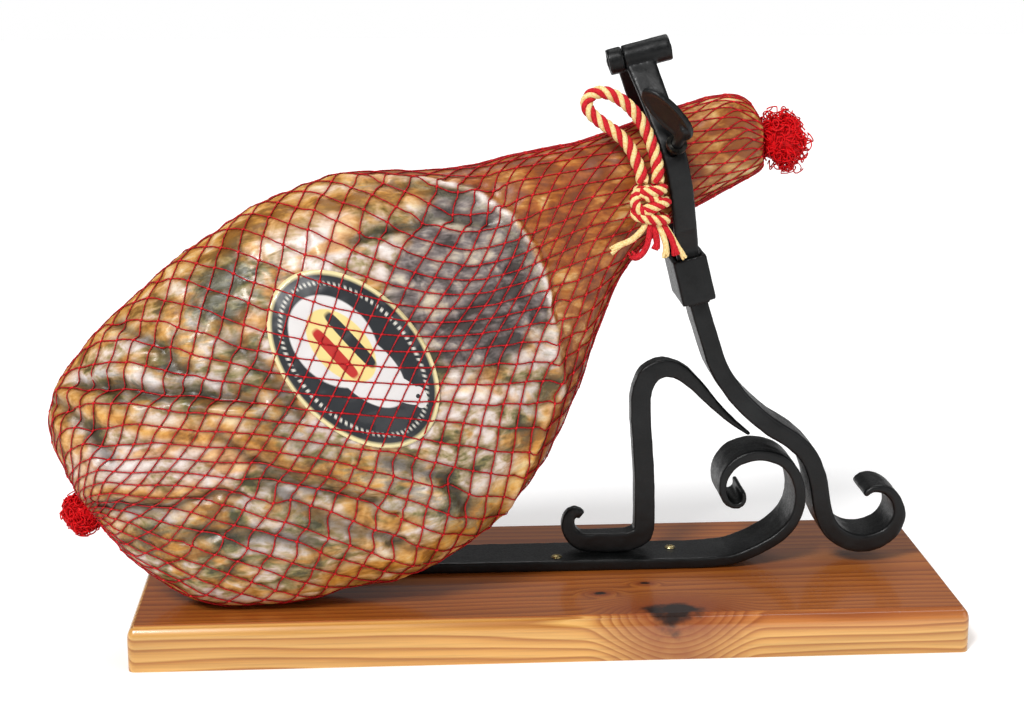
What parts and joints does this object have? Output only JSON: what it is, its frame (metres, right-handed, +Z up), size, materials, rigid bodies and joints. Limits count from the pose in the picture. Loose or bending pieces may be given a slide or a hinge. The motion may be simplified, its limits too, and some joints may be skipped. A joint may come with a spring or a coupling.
{
  "type": "cured ham on stand",
  "caption": "Whole cured ham in a diamond net, tied with a twisted cord and clamped by its shank in a forged scroll stand on a board.",
  "frame": {"origin": "centre of the board's underside", "axes": "+X along the board from the rump towards the clamp, +Y away from the ham's labelled side, +Z up"},
  "size_m": [0.7115, 0.2359, 0.4693],
  "materials": {
    "varnished_pine": "clear gloss varnish over knotty pine",
    "black_iron": "black forge paint, satin",
    "worn_steel": "bare, rubbed bright",
    "zinc_screw": "yellow zinc plating",
    "ham_rind": "dried ham skin, fat and lean with mould bloom, lightly greasy",
    "red_net": "red net thread",
    "printed_label": "printed, smooth",
    "cotton_rope": "red and cream cotton, two strands twisted"
  },
  "bodies": {
    "stand": {"pine_board": "varnished_pine", "base_bar_scroll": "black_iron", "upright_bar": "black_iron", "brace_bar": "black_iron", "collar": "black_iron", "front_strap": "black_iron", "rear_strap": "black_iron", "hinge_pin": "black_iron", "screw_ring": "worn_steel", "base_screw_1": "zinc_screw", "base_screw_2": "zinc_screw", "ham_in_net": "ham_rind", "net_tuft_shank": "red_net", "net_tuft_rump": "red_net", "label": "printed_label", "rope_loop": "cotton_rope", "rope_knot": "cotton_rope"},
    "clamp_screw": {"clamp_screw": "black_iron"}
  },
  "joints": [
    {"name": "clamp_screw_turn", "type": "hinge", "parent": "stand", "child": "clamp_screw", "pos_m": [0.09903, -0.03956, 0.38914], "axis": [0.1751, -0.7804, 0.6003], "continuous": true}
  ]
}
